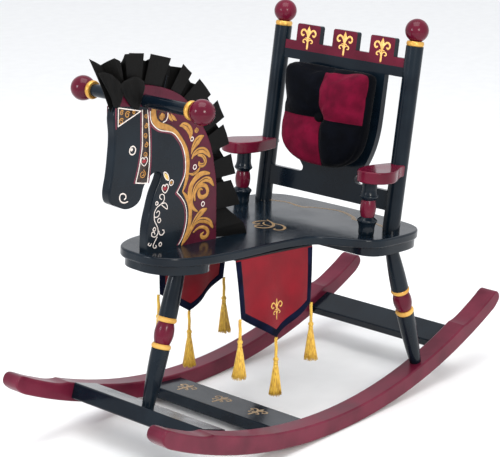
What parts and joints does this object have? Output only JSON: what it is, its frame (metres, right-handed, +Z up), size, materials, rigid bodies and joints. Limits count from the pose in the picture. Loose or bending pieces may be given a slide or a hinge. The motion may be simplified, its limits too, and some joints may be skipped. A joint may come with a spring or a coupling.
{
  "type": "rocking horse",
  "caption": "Child's wooden rocking horse chair: flat painted horse head, plank seat on turned legs and curved rockers, castle-crested back with shield cushion, tasselled saddle flags.",
  "frame": {"origin": "on the floor midway between the rockers and midway between their tips", "axes": "+X towards the horse's nose, +Y to its left, +Z up"},
  "size_m": [0.897, 0.3654, 0.6636],
  "materials": {
    "black_paint": "turned and sawn hardwood under a blue-black gloss enamel",
    "burgundy_paint": "hardwood under a burgundy gloss enamel",
    "gold_paint": "turned hardwood under a satin gold paint",
    "bare_wood": "unpainted beech",
    "screw_steel": "zinc-plated",
    "tack_steel": "black japanned",
    "flag_cloth": "crimson satin with a navy border, lined",
    "mane_cloth": "black stiffened cloth, pleated",
    "cushion_velvet": "quartered crimson and black velvet",
    "button_velvet": "black velvet over a button mould",
    "tassel_thread": "gold rayon",
    "hook_and_loop": "black woven tape",
    "label_tape": "white woven tape"
  },
  "bodies": {
    "frame": {"left_rocker": "burgundy_paint", "right_rocker": "burgundy_paint", "front_slat": "black_paint", "footrest": "black_paint", "rear_slat": "black_paint", "slat_dowels": "bare_wood", "seat_board": "black_paint", "front_block": "black_paint", "rear_block": "black_paint", "seat_screws": "screw_steel", "front_leg": "black_paint", "left_rear_leg": "black_paint", "right_rear_leg": "black_paint", "left_back_post": "black_paint", "right_back_post": "black_paint", "left_finial_ring": "gold_paint", "right_finial_ring": "gold_paint", "left_finial": "burgundy_paint", "right_finial": "burgundy_paint", "back_panel": "black_paint", "panel_dowels": "bare_wood", "back_post_screws": "screw_steel", "left_armrest": "burgundy_paint", "right_armrest": "burgundy_paint", "left_arm_post": "black_paint", "right_arm_post": "black_paint", "armrest_dowels": "bare_wood", "armrest_screws": "screw_steel", "arm_post_screws": "screw_steel", "hook_pads": "hook_and_loop", "handle_bar": "black_paint", "head_board": "black_paint", "left_handle_ring": "gold_paint", "right_handle_ring": "gold_paint", "left_handle_ball": "burgundy_paint", "right_handle_ball": "burgundy_paint", "head_screws": "screw_steel", "mane": "mane_cloth", "mane_tacks": "tack_steel", "saddle_strap": "flag_cloth", "strap_tacks": "tack_steel"},
    "cushion": {"cushion": "cushion_velvet", "cushion_button": "button_velvet", "loop_pads": "hook_and_loop"},
    "left_flag": {"left_flag": "flag_cloth"},
    "right_flag": {"right_flag": "flag_cloth", "sewn_label": "label_tape"},
    "left_rear_tassel": {"left_rear_tassel": "tassel_thread"},
    "left_point_tassel": {"left_point_tassel": "tassel_thread"},
    "left_front_tassel": {"left_front_tassel": "tassel_thread"},
    "right_rear_tassel": {"right_rear_tassel": "tassel_thread"},
    "right_point_tassel": {"right_point_tassel": "tassel_thread"},
    "right_front_tassel": {"right_front_tassel": "tassel_thread"}
  },
  "joints": [
    {"name": "cushion_pull", "type": "slide", "parent": "frame", "child": "cushion", "axis": [0.9869, 0, 0.1616], "range_m": [0, 0.12]},
    {"name": "left_flag_hinge", "type": "hinge", "parent": "frame", "child": "left_flag", "pos_m": [0.08961, 0.088, 0.30784], "axis": [0.9961, -0.0437, 0.0766], "range_deg": [-12, 80]},
    {"name": "left_rear_tassel_swing", "type": "hinge", "parent": "left_flag", "child": "left_rear_tassel", "pos_m": [0.0058, 0.09856, 0.20479], "axis": [0, 1, 0], "range_deg": [-30, 30]},
    {"name": "left_point_tassel_swing", "type": "hinge", "parent": "left_flag", "child": "left_point_tassel", "pos_m": [0.09535, 0.09807, 0.16641], "axis": [0, 1, 0], "range_deg": [-30, 30]},
    {"name": "left_front_tassel_swing", "type": "hinge", "parent": "left_flag", "child": "left_front_tassel", "pos_m": [0.17773, 0.0913, 0.21753], "axis": [0, 1, 0], "range_deg": [-30, 30]},
    {"name": "right_flag_hinge", "type": "hinge", "parent": "frame", "child": "right_flag", "pos_m": [0.08961, -0.088, 0.30784], "axis": [-0.9961, -0.0437, -0.0766], "range_deg": [-12, 80]},
    {"name": "right_rear_tassel_swing", "type": "hinge", "parent": "right_flag", "child": "right_rear_tassel", "pos_m": [0.0058, -0.09856, 0.20479], "axis": [0, 1, 0], "range_deg": [-30, 30]},
    {"name": "right_point_tassel_swing", "type": "hinge", "parent": "right_flag", "child": "right_point_tassel", "pos_m": [0.09535, -0.09807, 0.16641], "axis": [0, 1, 0], "range_deg": [-30, 30]},
    {"name": "right_front_tassel_swing", "type": "hinge", "parent": "right_flag", "child": "right_front_tassel", "pos_m": [0.17773, -0.0913, 0.21753], "axis": [0, 1, 0], "range_deg": [-30, 30]}
  ]
}
